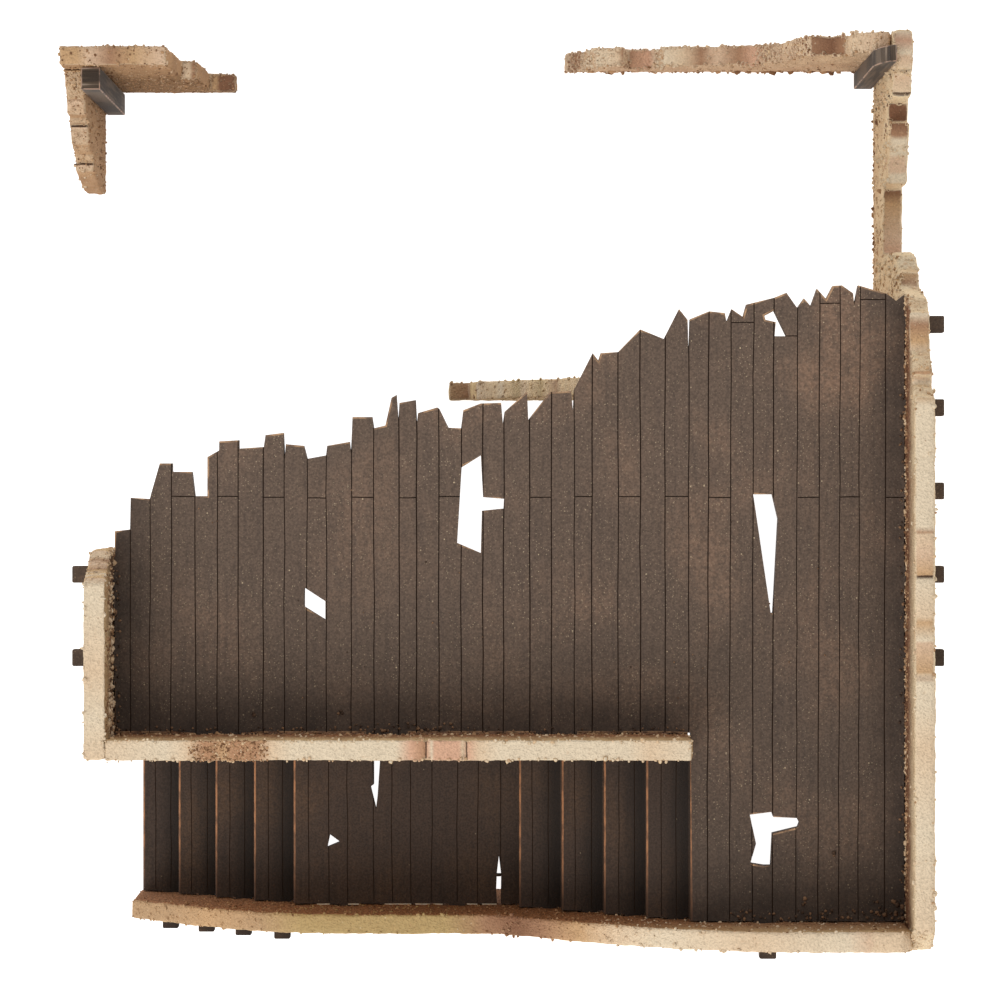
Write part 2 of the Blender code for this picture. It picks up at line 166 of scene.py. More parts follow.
class Shader:
    """One material, built node by node. Coordinates are the row frame's, in metres."""

    def __init__(self, name, roughness=0.9, specular=0.25):
        self.material = bpy.data.materials.new(name)
        self.material.use_nodes = True
        self.tree = self.material.node_tree
        self.surface = self.tree.nodes["Principled BSDF"]
        self.surface.inputs["Roughness"].default_value = roughness
        self.surface.inputs["Specular IOR Level"].default_value = specular
        self.place = self.add("ShaderNodeTexCoord").outputs["Object"]
        axes = self.add("ShaderNodeSeparateXYZ", {"Vector": self.place})
        self.x = axes.outputs["X"]
        self.y = axes.outputs["Y"]
        self.z = axes.outputs["Z"]

    def add(self, kind, inputs=None, **settings):
        node = self.tree.nodes.new(kind)
        for name, value in settings.items():
            setattr(node, name, value)
        for key, value in (inputs or {}).items():
            if isinstance(value, bpy.types.NodeSocket):
                self.tree.links.new(value, node.inputs[key])
            else:
                node.inputs[key].default_value = value
        return node

    def maths(self, operation, first, second=0.0, third=0.0):
        node = self.add("ShaderNodeMath", {0: first, 1: second, 2: third}, operation=operation)
        return node.outputs["Value"]

    def scaled(self, across, along, up):
        """The place, stretched by a factor on each axis."""
        inputs = {0: self.place, 1: (across, along, up)}
        return self.add("ShaderNodeVectorMath", inputs, operation="MULTIPLY").outputs["Vector"]

    def noise(self, size, detail=2.0, place=None):
        """Noise whose lumps are about this many millimetres across."""
        inputs = {"Vector": place or self.place, "Scale": 1.0 / (size * MM), "Detail": detail}
        return self.add("ShaderNodeTexNoise", inputs).outputs["Fac"]

    def ease(self, value, low, high, start=0.0, end=1.0):
        """value from low to high, eased to run from start to end."""
        inputs = {"Value": value, "From Min": low, "From Max": high, "To Min": start, "To Max": end}
        node = self.add("ShaderNodeMapRange", inputs, interpolation_type="SMOOTHSTEP")
        return node.outputs["Result"]

    def mix(self, share, first, second, how="MIX"):
        node = self.add("ShaderNodeMix", data_type="RGBA", blend_type=how)
        for socket, value in zip((node.inputs[0], node.inputs[6], node.inputs[7]),
                                 (share, first, second)):
            if isinstance(value, bpy.types.NodeSocket):
                self.tree.links.new(value, socket)
            else:
                socket.default_value = value
        return node.outputs[2]

    def dots(self, spacing, radius, share):
        """Round specks of this radius in some of the cells of this spacing."""
        inputs = {"Vector": self.place, "Scale": 1.0 / (spacing * MM)}
        cells = self.add("ShaderNodeTexVoronoi", inputs)
        chance = self.add("ShaderNodeSeparateColor", {"Color": cells.outputs["Color"]})
        near = self.ease(cells.outputs["Distance"], radius / spacing, 0.6 * radius / spacing)
        chosen = self.maths("LESS_THAN", chance.outputs["Red"], share)
        return self.maths("MULTIPLY", near, chosen)

    def bands(self, coordinate, wobble, stops):
        """Colours along a coordinate: stops are (millimetres, colour), with soft ends."""
        low = stops[0][0]
        span = stops[-1][0] - low
        waver = self.maths("MULTIPLY_ADD", self.noise(1.2), wobble * MM * 2, -wobble * MM)
        moved = self.maths("ADD", coordinate, waver)
        share = self.maths("MULTIPLY_ADD", moved, 1.0 / (span * MM), -low / span)
        ramp = self.add("ShaderNodeValToRGB", {"Fac": share})
        elements = ramp.color_ramp.elements
        elements[0].position = 0.0
        elements[0].color = stops[0][1]
        elements[1].position = 1.0
        elements[1].color = stops[-1][1]
        for place, colour in stops[1:-1]:
            element = elements.new((place - low) / span)
            element.color = colour
        return ramp.outputs["Color"]

    def facing_up(self, low, high):
        normal = self.add("ShaderNodeNewGeometry").outputs["Normal"]
        up = self.add("ShaderNodeSeparateXYZ", {"Vector": normal}).outputs["Z"]
        return self.ease(up, low, high)

    def bump(self, height, distance, strength=1.0):
        inputs = {"Height": height, "Distance": distance * MM, "Strength": strength}
        normal = self.add("ShaderNodeBump", inputs).outputs["Normal"]
        self.tree.links.new(normal, self.surface.inputs["Normal"])

    def finish(self, colour):
        self.tree.links.new(colour, self.surface.inputs["Base Color"])
        return self.material


# ---------------------------------------------------------------- wood

PLANK = paint(86, 71, 60)
PLANK_WORN = paint(116, 92, 75)
PLANK_DARK = paint(66, 55, 48)
STAIR = paint(66, 53, 45)
STAIR_DARK = paint(49, 41, 36)
GROOVE_WITH_SHADE = paint(62, 47, 38)
EDGE_TAN = paint(186, 148, 112)
SPECK = paint(185, 165, 135)


def wood_colour(shader, plain, dark, worn, cloud):
    """Stained board: clouds of wear, streaks along Y and tiny pale specks."""
    streaks = shader.noise(0.9, 3.0, shader.scaled(1.0, 0.08, 1.0))
    clouds = shader.noise(17.0, 3.0)
    rubbed = shader.ease(shader.noise(0.8, 3.0), 0.35, 0.60, 0.35, 0.95)
    worn_share = shader.maths("MULTIPLY", shader.ease(clouds, 0.42, 0.72), cloud)
    worn_share = shader.maths("MULTIPLY", worn_share, rubbed)
    colour = shader.mix(worn_share, plain, worn)
    colour = shader.mix(shader.ease(streaks, 0.55, 0.25, 0.0, 0.38), colour, dark)
    grain = shader.noise(0.36, 2.0)
    tone = shader.ease(grain, 0.25, 0.75, 0.74, 1.26)
    lit = shader.add("ShaderNodeHueSaturation", {"Value": tone, "Color": colour})
    return lit.outputs["Color"], streaks, grain


def plank_material():
    """Upper floor: rubbed in the middle, dusted with pale specks, with painted shade along the walls and
    painted light that brightens it towards the back.
    """
    shader = Shader("plank_stain_and_shade", 0.72)
    middle = (38.0 * MM, 12.0 * MM, FLOOR_TOP * MM)
    away = shader.add("ShaderNodeVectorMath", {0: shader.place, 1: middle}, operation="DISTANCE")
    cloud = shader.ease(away.outputs["Value"], 70.0 * MM, 10.0 * MM, 0.45, 1.0)
    colour, streaks, grain = wood_colour(shader, PLANK, PLANK_DARK, PLANK_WORN, cloud)
    dusty = shader.ease(shader.noise(14.0, 2.0), 0.35, 0.60, 0.35, 1.0)
    for spacing, radius, share, strength in ((0.45, 0.11, 0.50, 0.38), (0.80, 0.13, 0.50, 0.48),
                                             (2.1, 0.17, 0.45, 0.80)):
        specks = shader.maths("MULTIPLY", shader.dots(spacing, radius, share), dusty)
        colour = shader.mix(shader.maths("MULTIPLY", specks, strength), colour, SPECK)
    # Painted shade: the floor darkens beside the front wall, the side walls and the parapet, where they
    # shadow it.
    by_front = shader.ease(shader.y, -33.0 * MM, FRONT_WALL_Y * MM)
    left_part = shader.maths("LESS_THAN", shader.x, FRONT_WALL_END * MM)
    painted_wall_shade = shader.maths("MULTIPLY", by_front, left_part)
    by_left = shader.ease(shader.x, -59.0 * MM, -68.5 * MM)
    by_right = shader.ease(shader.x, 63.0 * MM, 71.8 * MM)
    by_parapet = shader.ease(shader.y, -62.0 * MM, -77.0 * MM)
    for side in (by_left, by_right, by_parapet):
        painted_wall_shade = shader.maths("MAXIMUM", painted_wall_shade, side)
    uneven = shader.ease(shader.noise(5.0, 3.0), 0.25, 0.70, 0.30, 0.64)
    colour = shader.mix(shader.maths("MULTIPLY", painted_wall_shade, uneven), colour, paint(44, 36, 31))
    shade = shader.ease(shader.y, -70.0 * MM, 15.0 * MM, 0.88, 1.24)
    lit = shader.add("ShaderNodeHueSaturation", {"Value": shade, "Color": colour})
    shader.bump(shader.maths("ADD", streaks, grain), 0.08)
    return shader.finish(lit.outputs["Color"])


def stair_material(name, first=0.0, going=0.0):
    """Stained steps. In a flight whose first front edge and going are given, each tread gets painted
    shade that darkens it towards the next riser."""
    shader = Shader(name, 0.75)
    colour, streaks, grain = wood_colour(shader, STAIR, STAIR_DARK, paint(92, 70, 52), 0.5)
    if going:
        # Painted shade: each tread darkens towards the riser of the next step.
        steps = shader.maths("MULTIPLY_ADD", shader.x, 1.0 / (going * MM), -first / going)
        share = shader.maths("FRACT", steps)
        colour = shader.mix(shader.ease(share, 0.25, 0.95, 0.0, 0.8), colour, paint(34, 28, 24))
    specks = shader.dots(2.4, 0.15, 0.20)
    colour = shader.mix(shader.maths("MULTIPLY", specks, 0.35), colour, SPECK)
    shader.bump(shader.maths("ADD", streaks, grain), 0.06)
    return shader.finish(colour)


def groove_material():
    shader = Shader("scored_line_with_shade", 0.9, 0.1)
    # Painted shade: the scored lines' dark brown is partly their own colour and partly shade in the
    # groove.
    depth = shader.noise(3.0)
    return shader.finish(shader.mix(depth, GROOVE_WITH_SHADE, paint(80, 61, 49)))


def rim_material():
    """Broken ends of the floor's planks, rubbed tan in places."""
    shader = Shader("worn_rim", 0.7)
    rubbed = shader.ease(shader.noise(2.4, 3.0), 0.36, 0.60)
    grain = shader.ease(shader.noise(0.4), 0.3, 0.7, 0.55, 1.0)
    share = shader.maths("MULTIPLY", rubbed, grain)
    return shader.finish(shader.mix(share, paint(108, 86, 70), EDGE_TAN))


def nosing_material():
    """Front edges of the steps, rubbed bright where feet fall."""
    shader = Shader("worn_nosing", 0.65)
    from_middle = shader.maths("SUBTRACT", shader.y, STAIR_MIDDLE_Y * MM)
    trodden = shader.ease(shader.maths("ABSOLUTE", from_middle), 21.0 * MM, 5.0 * MM)
    worn = shader.noise(0.9, 4.0, shader.scaled(1.0, 0.4, 1.0))
    grain = shader.ease(worn, 0.36, 0.62, 0.35, 1.0)
    share = shader.maths("MULTIPLY", trodden, grain)
    return shader.finish(shader.mix(share, paint(74, 56, 45), paint(166, 116, 80)))


def char_material(name, across, along):
    """Charred wood whose grain runs up and down; across and along scale its streaks."""
    shader = Shader(name, 0.75)
    streaks = shader.noise(0.8, 2.0, shader.scaled(across, along, 0.05))
    stripes = shader.maths("MULTIPLY", shader.ease(streaks, 0.52, 0.60), shader.facing_up(0.2, 0.5))
    colour = shader.mix(shader.ease(streaks, 0.35, 0.60), paint(57, 46, 37), paint(93, 77, 62))
    colour = shader.mix(shader.maths("MULTIPLY", stripes, 0.7), colour, paint(176, 158, 140))
    grain = shader.noise(0.3)
    shader.bump(shader.maths("ADD", streaks, grain), 0.12)
    return shader.finish(colour)


def char_edge_material():
    shader = Shader("charred_edge", 0.7)
    rubbed = shader.ease(shader.noise(1.8, 3.0), 0.38, 0.58)
    return shader.finish(shader.mix(rubbed, paint(84, 70, 60), paint(160, 130, 110)))


# ---------------------------------------------------------------- sanded walls

CREAM = paint(216, 198, 171)
WARM_CREAM = paint(213, 187, 156)
PINK_CREAM = paint(207, 176, 147)
TAN = paint(190, 154, 115)
SHADE_TAN = paint(176, 144, 110)
DARK_TAN = paint(160, 122, 94)
BROWN = paint(126, 90, 68)
BRICK = paint(176, 134, 102)
PINK = paint(205, 162, 134)
RUST = paint(150, 104, 72)
OLIVE = paint(176, 150, 104)
PALE_OLIVE = paint(222, 194, 154)
CRACK = paint(70, 50, 38)
FACE_TAN = paint(206, 174, 130)
FACE_DARK = paint(164, 126, 90)


def sand_material(name, axis, wobble, stops, face=FACE_TAN, face_dark=FACE_DARK, far_stops=None,
                  crest_highlight_share=0.30, slope=(0.55, 0.85), inner=None, joints=()):
    """Painted sand. stops colour the cut edges that face up, along one axis of the wall, and
    face and face_dark the upright faces, which are darker low down. far_stops carry on where
    stops end. crest_highlight_share is how strongly a painted highlight pales the rim between
    the two, and slope is the range of the normal's Z over which a face becomes top. inner is
    (axis, sign, low, high, back, colour): a darker colour on the face whose normal has that
    sign, dirty on most walls and painted shade on the loose back wall, which fades out between
    two heights and stops at y = back. joints are the places of dark lines across the top."""
    shader = Shader(name, 0.95, 0.15)
    line = getattr(shader, axis)
    top = shader.bands(line, wobble, stops)
    if far_stops:
        far_top = shader.bands(line, wobble, far_stops)
        beyond = shader.maths("GREATER_THAN", line, far_stops[0][0] * MM)
        top = shader.mix(beyond, top, far_top)
    for joint in joints:
        waver = shader.maths("MULTIPLY_ADD", shader.noise(1.5), 0.3 * MM, -(joint + 0.15) * MM)
        gap = shader.maths("ABSOLUTE", shader.maths("ADD", line, waver))
        top = shader.mix(shader.ease(gap, 0.20 * MM, 0.08 * MM, 0.0, 0.85), top, CRACK)
    patches = shader.noise(5.0, 5.0, shader.scaled(1.0, 1.0, 0.5))
    side = shader.mix(shader.ease(patches, 0.34, 0.80, 0.0, 0.75), face, face_dark)
    # The upright faces turn darker towards the bottom.
    low = shader.ease(shader.z, 26.0 * MM, 0.0, 0.0, 0.55)
    side = shader.mix(low, side, face_dark)
    # A darker colour on one upright face: dirty on most walls, painted shade on the loose back wall.
    if inner:
        inner_axis, sign, full, none, back, dirt_and_shade = inner
        normal = shader.add("ShaderNodeNewGeometry").outputs["Normal"]
        axes = shader.add("ShaderNodeSeparateXYZ", {"Vector": normal})
        toward = shader.maths("MULTIPLY", axes.outputs[inner_axis], sign)
        height = shader.maths("MULTIPLY_ADD", shader.noise(2.5, 3.0), 6.0 * MM, -3.0 * MM)
        height = shader.maths("ADD", height, shader.z)
        share = shader.maths("MULTIPLY", shader.ease(toward, 0.3, 0.6),
                             shader.ease(height, none * MM, full * MM))
        ahead = shader.ease(shader.y, (back + 2.0) * MM, (back - 2.0) * MM)
        lumps = shader.ease(shader.noise(0.55, 3.0), 0.36, 0.62, 0.66, 1.34)
        dirt_and_shade = shader.add("ShaderNodeHueSaturation", {"Value": lumps, "Color": dirt_and_shade})
        share = shader.maths("MULTIPLY", share, ahead)
        side = shader.mix(share, side, dirt_and_shade.outputs["Color"])
    colour = shader.mix(shader.facing_up(*slope), side, top)
    # Painted highlight: the rounded rim between top and side is paled towards cream.
    rim = shader.maths("MULTIPLY", shader.facing_up(0.30, 0.55), shader.facing_up(0.92, 0.70))
    colour = shader.mix(shader.maths("MULTIPLY", rim, crest_highlight_share), colour, CREAM)
    pits = shader.noise(0.8, 3.0)
    colour = shader.mix(shader.ease(pits, 0.40, 0.28, 0.0, 0.25), colour, face_dark)
    grain = shader.noise(0.35, 1.0)
    tone = shader.ease(grain, 0.25, 0.75, 0.89, 1.09)
    lit = shader.add("ShaderNodeHueSaturation", {"Value": tone, "Color": colour})
    colour = lit.outputs["Color"]
    for spacing, radius, share, speck in ((1.7, 0.20, 0.30, DARK_TAN), (1.1, 0.17, 0.35, CREAM)):
        specks = shader.dots(spacing, radius, share)
        colour = shader.mix(shader.maths("MULTIPLY", specks, 0.42), colour, speck)
    shader.bump(shader.maths("ADD", pits, grain), 0.28)
    return shader.finish(colour)


def grit_material():
    shader = Shader("grit", 0.9, 0.2)
    pick = shader.add("ShaderNodeNewGeometry").outputs["Random Per Island"]
    colour = shader.mix(shader.ease(pick, 0.10, 0.45), paint(164, 128, 94), paint(206, 176, 140))
    colour = shader.mix(shader.ease(pick, 0.65, 0.95), colour, WARM_CREAM)
    shader.bump(shader.noise(0.3), 0.1)
    return shader.finish(colour)


def dark_grit_material():
    shader = Shader("dark_grit", 0.9, 0.2)
    pick = shader.add("ShaderNodeNewGeometry").outputs["Random Per Island"]
    colour = shader.mix(shader.ease(pick, 0.2, 0.8), paint(118, 84, 58), paint(176, 138, 102))
    shader.bump(shader.noise(0.3), 0.1)
    return shader.finish(colour)


def crumb_material():
    shader = Shader("dry_mud", 0.9, 0.2)
    pick = shader.add("ShaderNodeNewGeometry").outputs["Random Per Island"]
    colour = shader.mix(shader.ease(pick, 0.2, 0.9), paint(70, 54, 43), paint(134, 102, 76))
    shader.bump(shader.noise(0.3), 0.1)
    return shader.finish(colour)


def glue_material():
    shader = Shader("pale_glue", 0.6)
    return shader.finish(shader.mix(shader.noise(1.0), paint(236, 226, 208), paint(180, 160, 136)))


# ---------------------------------------------------------------- shapes

def object_of(name, mesh, materials):
    obj = bpy.data.objects.new(name, mesh)
    bpy.context.scene.collection.objects.link(obj)
    while len(mesh.materials) < len(materials):
        mesh.materials.append(None)
    for index, material in enumerate(materials):
        mesh.materials[index] = material
    return obj


def body_of(node):
    for body, members in frame["record"]["behaviour"]["bodies"].items():
        if node in members:
            return body
    raise KeyError(node)


def stand_for(obj, node):
    """The piece rides with its CAD node's body and is shown in its place."""
    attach(obj, body_of(node))
    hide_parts(node)


def evaluated_mesh(obj):
    """The object's mesh with its modifiers applied; the object itself is removed."""
    graph = bpy.context.evaluated_depsgraph_get()
    mesh = bpy.data.meshes.new_from_object(obj.evaluated_get(graph))
    bpy.data.objects.remove(obj, do_unlink=True)
    return mesh


def welded_mesh(node):
    """Copy of a CAD mesh with its points welded."""
    shape = bmesh.new()
    shape.from_mesh(frame["nodes"][node].data)
    bmesh.ops.remove_doubles(shape, verts=shape.verts, dist=0.002 * MM)
    for face in shape.faces:
        face.material_index = 0
        face.smooth = False
    mesh = bpy.data.meshes.new(node + "_shape")
    shape.to_mesh(mesh)
    shape.free()
    return mesh


def add_strip(shape, points, width, low, high, way):
    """A closed strip along a line of (x, y) points, running mostly along the axis way."""
    half = width / 2
    aside = (half, 0.0) if way == "y" else (0.0, half)
    rings = []
    for x, y in points:
        corners = []
        for side, height in ((-1, low), (1, low), (1, high), (-1, high)):
            place = (x + side * aside[0], y + side * aside[1], height)
            corners.append(shape.verts.new(Vector(place) * MM))
        rings.append(corners)
    for first, second in zip(rings, rings[1:]):
        for corner in range(4):
            after = (corner + 1) % 4
            shape.faces.new((first[corner], first[after], second[after], second[corner]))
    shape.faces.new(rings[0][::-1])
    shape.faces.new(rings[-1])


def wandering(start, end, pace, amount, rng):
    """Points from start to end that stray sideways a little, as a hand-drawn line does."""
    count = max(2, int(math.dist(start, end) / pace) + 1)
    points = []
    for step in range(count):
        share = step / (count - 1)
        stray = rng.uniform(-amount, amount)
        x = start[0] + (end[0] - start[0]) * share
        y = start[1] + (end[1] - start[1]) * share
        if abs(end[1] - start[1]) > abs(end[0] - start[0]):
            points.append((x + stray, y))
        else:
            points.append((x, y + stray))
    return points


def scored(mesh, strips, index):
    """Cut closed strips out of a mesh. The new faces take this material index."""
    target = bpy.data.objects.new("scored", mesh)
    cutter_mesh = bpy.data.meshes.new("cutter")
    shape = bmesh.new()
    for strip in strips:
        add_strip(shape, *strip)
    bmesh.ops.recalc_face_normals(shape, faces=shape.faces)
    for face in shape.faces:
        face.material_index = index
    shape.to_mesh(cutter_mesh)
    shape.free()
    cutter = bpy.data.objects.new("cutter", cutter_mesh)
    for obj in (target, cutter):
        bpy.context.scene.collection.objects.link(obj)
        for _ in range(3):
            obj.data.materials.append(None)
    modifier = target.modifiers.new("score", "BOOLEAN")
    modifier.operation = "DIFFERENCE"
    modifier.solver = "EXACT"
    modifier.object = cutter
    bpy.context.view_layer.update()
    result = evaluated_mesh(target)
    bpy.data.objects.remove(cutter, do_unlink=True)
    return result


def is_flat(edge):
    """An edge inside a flat face that isn't the underside."""
    if len(edge.link_faces) != 2:
        return False
    first, second = edge.link_faces
    same = first.normal.dot(second.normal) > 0.99999
    return same and first.normal.z > -0.9 and first.material_index == second.material_index


def rounded(mesh, width, index, wanted, segments=2):
    """Make flat faces whole, round the wanted edges between two faces, and give the new faces
    this material index."""
    shape = bmesh.new()
    shape.from_mesh(mesh)
    bmesh.ops.remove_doubles(shape, verts=shape.verts, dist=0.002 * MM)
    inside = [edge for edge in shape.edges if is_flat(edge)]
    bmesh.ops.dissolve_limit(
        shape, angle_limit=math.radians(0.5), verts=[], edges=inside, delimit={"MATERIAL"}
    )
    edges = []
    for edge in shape.edges:
        if len(edge.link_faces) == 2 and wanted(edge):
            edges.append(edge)
    bmesh.ops.bevel(
        shape, geom=edges, offset=width * MM, offset_type="OFFSET", segments=segments,
        profile=0.6, affect="EDGES", clamp_overlap=False, material=index,
    )
    shape.to_mesh(mesh)
    shape.free()
    return mesh


def is_rim(edge):
    """An edge between a board's plain top and its plain side."""
    if any(face.material_index for face in edge.link_faces):
        return False
    heights = sorted(abs(face.normal.z) for face in edge.link_faces)
    ups = max(face.normal.z for face in edge.link_faces)
    return heights[0] < 0.2 and ups > 0.95


def is_open_rim(edge):
    """A rim of the upper floor that doesn't run along one of its scored lines."""
    if not is_rim(edge):
        return False
    start, end = (point.co / MM for point in edge.verts)
    if max(abs(start.x), abs(end.x)) > 68.6 or min(start.y, end.y) < -76.0:
        return False
    if abs(end.y - start.y) < 1.5 * abs(end.x - start.x):
        return True
    return all(min(abs(start.x - line), abs(end.x - line)) > 0.6 for line in FLOOR_LINES)


def is_stair_head(edge):
    """The rim of the upper floor that is the stair's last step."""
    ends = [point.co / MM for point in edge.verts]
    along = all(abs(end.x - STAIR_HEAD) < 0.1 for end in ends)
    return is_rim(edge) and along and min(end.y for end in ends) < -47.0


def is_tab_corner(edge):
    """An upright edge at the end of a tab outside the walls."""
    start, end = (point.co / MM for point in edge.verts)
    upright = math.dist(start.xy, end.xy) < 0.1
    return upright and (abs(start.x) > 75.5 or start.y < -83.0) and is_sharp(edge)


def is_sharp(edge):
    return edge.calc_face_angle(0.0) > math.radians(40)


# ---------------------------------------------------------------- boards

def make_floor(materials):
    """materials: the planks, their scored lines, broken rims, crumbs and the head of the stair."""
    rng = random.Random(11)
    low = FLOOR_TOP - FLOOR_SCORE_DEPTH
    high = FLOOR_TOP + SCORE_ABOVE
    strips = []
    for x in FLOOR_LINES:
        beside_stair = x > STAIR_HEAD
        front = HEAD_SCORE_FRONT if beside_stair else FLOOR_SCORE_FRONT
        lean = -0.35 if beside_stair else rng.uniform(-0.15, 0.15)
        points = wandering((x + lean, front), (x, FLOOR_SCORE_BACK), 9.0, 0.10, rng)
        strips.append((points, rng.uniform(0.16, 0.22), low, high, "y"))
    mesh = scored(welded_mesh("floor_panel"), strips, 1)
    strips = []
    for left, right in FLOOR_JOINTS:
        y = FLOOR_JOINTS_Y + rng.uniform(-0.15, 0.15)
        points = wandering((left, y), (right, y), 1.5, 0.04, rng)
        strips.append((points, 0.18, low, high, "x"))
    for left, right, y in EXTRA_JOINTS:
        strips.append((wandering((left, y), (right, y), 1.5, 0.04, rng), 0.18, low, high, "x"))
    mesh = scored(mesh, strips, 1)
    rounded(mesh, WORN_RIM, 2, is_open_rim)
    rounded(mesh, WORN_HEAD, 4, is_stair_head, 3)
    rounded(mesh, ROUNDED_TAB, 0, is_tab_corner, 3)
    mesh = with_crumbs(mesh, FLOOR_CRUMBS, 3, rng)
    stand_for(object_of("planked_floor", mesh, materials), "floor_panel")


def make_landing(materials):
    """materials: the planks, their scored lines, the worn front edge and the glue."""
    rng = random.Random(12)
    strips = []
    for x in LANDING_LINES:
        back = x + rng.uniform(-0.2, 0.2)
        points = wandering((x, STAIR_SCORE_FRONT), (back, STAIR_SCORE_BACK), 7.0, 0.10, rng)
        low = LANDING_TOP - LANDING_SCORE_DEPTH
        strips.append((points, 0.16, low, LANDING_TOP + SCORE_ABOVE, "y"))
    mesh = scored(welded_mesh("stair_landing"), strips, 1)
    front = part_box("stair_landing")[0].x

    def is_nosing(edge):
        return is_rim(edge) and all(abs(point.co.x - front) < 0.1 * MM for point in edge.verts)

    rounded(mesh, WORN_NOSING, 2, is_nosing, 3)
    shape = bmesh.new()
    shape.from_mesh(mesh)
    board_faces = set(shape.faces)
    for start, end in GLUE_LINES:
        points = wandering((start, GLUE_Y), (end, GLUE_Y), 2.0, 0.04, rng)
        add_strip(shape, points, 0.22, LANDING_TOP - 0.3, LANDING_TOP + 0.05, "x")
    glue = [face for face in shape.faces if face not in board_faces]
    bmesh.ops.recalc_face_normals(shape, faces=glue)
    for face in glue:
        face.material_index = 3
    shape.to_mesh(mesh)
    shape.free()
    stand_for(object_of("planked_landing", mesh, materials), "stair_landing")


def make_treads(numbers, materials):
    """materials: the board, its scored lines and its worn front edge."""
    rng = random.Random(13)
    for number in numbers:
        node = f"tread_{number}"
        corner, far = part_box(node)
        front = corner.x / MM
        top = far.z / MM
        strips = []
        for behind in TREAD_LINES:
            x = front + behind + rng.uniform(-0.2, 0.2)
            points = wandering((x, STAIR_SCORE_FRONT), (x, STAIR_SCORE_BACK), 7.0, 0.10, rng)
            strips.append((points, 0.15, top - TREAD_SCORE_DEPTH, top + SCORE_ABOVE, "y"))
        mesh = scored(welded_mesh(node), strips, 1)

        def is_nosing(edge, edge_x=corner.x):
            return is_rim(edge) and all(abs(p.co.x - edge_x) < 0.1 * MM for p in edge.verts)

        rounded(mesh, WORN_NOSING, 2, is_nosing, 3)
        rounded(mesh, ROUNDED_TAB, 0, is_tab_corner, 3)
        stand_for(object_of(f"worn_{node}", mesh, materials), node)


def make_post(node, material):
    """A charred post with rubbed edges."""
    mesh = welded_mesh(node)
    rounded(mesh, WORN_POST, 1, is_sharp)
    stand_for(object_of(f"charred_{node}", mesh, [material, MATERIALS["char_edge"]]), node)


# ---------------------------------------------------------------- coat of sand

# How far the coat swells, the foot that stays flat on the table, and the notches in the tops.
COAT_SWELL = 0.06
COAT_FOOT = 0.6
NOTCH_HALF_WIDTH = 0.35
NOTCH_DEPTH = 0.3

# Material slots of a coated wall: its sand, and loose pale and dark grains.
SAND = 0
PALE = 1
DARK = 2


def coated_mesh(node, cell, rough, seed, notches=()):
    """The CAD board as a fine closed mesh, pushed in and out a little like trowelled sand.
    notches are (axis, place) of shallow scores across its top."""
    source = object_of("coat", welded_mesh(node), [])
    remesh = source.modifiers.new("remesh", "REMESH")
    remesh.mode = "VOXEL"
    remesh.voxel_size = cell * MM
    remesh.adaptivity = 0.0
    bpy.context.view_layer.update()
    mesh = evaluated_mesh(source)
    shift = Vector((seed * 17.3, seed * 5.1, seed * 9.7))
    places = [vertex.co / MM for vertex in mesh.vertices]
    normals = [vertex.normal.copy() for vertex in mesh.vertices]
    moved = []
    for place, normal in zip(places, normals):
        broad = noise.noise(place / 7.0 + shift)
        middle = noise.noise(place / 2.2 + shift)
        fine = noise.noise(place / 0.9 + shift)
        push = COAT_SWELL + rough * (0.5 * broad + 0.8 * middle + 0.7 * fine)
        if place.z < COAT_FOOT:
            push = 0.0
        for axis, line in notches:
            if normal.z > 0.5 and abs(place[axis] - line) < NOTCH_HALF_WIDTH:
                push -= NOTCH_DEPTH
        moved.extend((place + normal * push) * MM)
    mesh.vertices.foreach_set("co", moved)
    mesh.update()
    return mesh


def grain_shape():
    """Points and faces of a round grain of radius 1."""
    shape = bmesh.new()
    bmesh.ops.create_icosphere(shape, subdivisions=1, radius=1.0)
    points = np.array([vertex.co[:] for vertex in shape.verts])
    faces = [[vertex.index for vertex in face.verts] for face in shape.faces]
    shape.free()
    return points, faces


def with_grit(mesh, grits, seed):
    """Stick grains of sand to a mesh. Each row of grits is (count, smallest, largest, material
    index, where), and where picks surface points by their place in millimetres and normal."""
    rng = np.random.default_rng(seed)
    base_points = np.array([vertex.co[:] for vertex in mesh.vertices])
    normals = np.array([vertex.normal[:] for vertex in mesh.vertices])
    grain, grain_faces = grain_shape()
    places = [base_points]
    faces = [list(face.vertices) for face in mesh.polygons]
    indices = [0] * len(faces)
    total = len(base_points)
    for count, smallest, largest, index, where in grits:
        chosen = np.nonzero(where(base_points.T / MM, normals.T))[0]
        if not len(chosen):
            continue
        for pick in rng.choice(chosen, count):
            size = smallest + (largest - smallest) * rng.random() ** 2
            stretch = rng.uniform(0.65, 1.25, (len(grain), 1))
            points = grain * stretch * rng.uniform(0.65, 1.3, 3) * size * MM
            aside = np.cross(normals[pick], rng.uniform(-0.35, 0.35, 3))
            centre = base_points[pick] + (aside - normals[pick] * 0.1 * size) * MM
            centre[2] = max(centre[2], 1.4 * size * MM)
            places.append(points + centre)
            faces += [[corner + total for corner in face] for face in grain_faces]
            indices += [index] * len(grain_faces)
            total += len(grain)
    made = bpy.data.meshes.new("coated")
    made.from_pydata(np.concatenate(places).tolist(), [], faces)
    made.polygons.foreach_set("material_index", indices)
    made.polygons.foreach_set("use_smooth", [True] * len(faces))
    made.update()
    return made


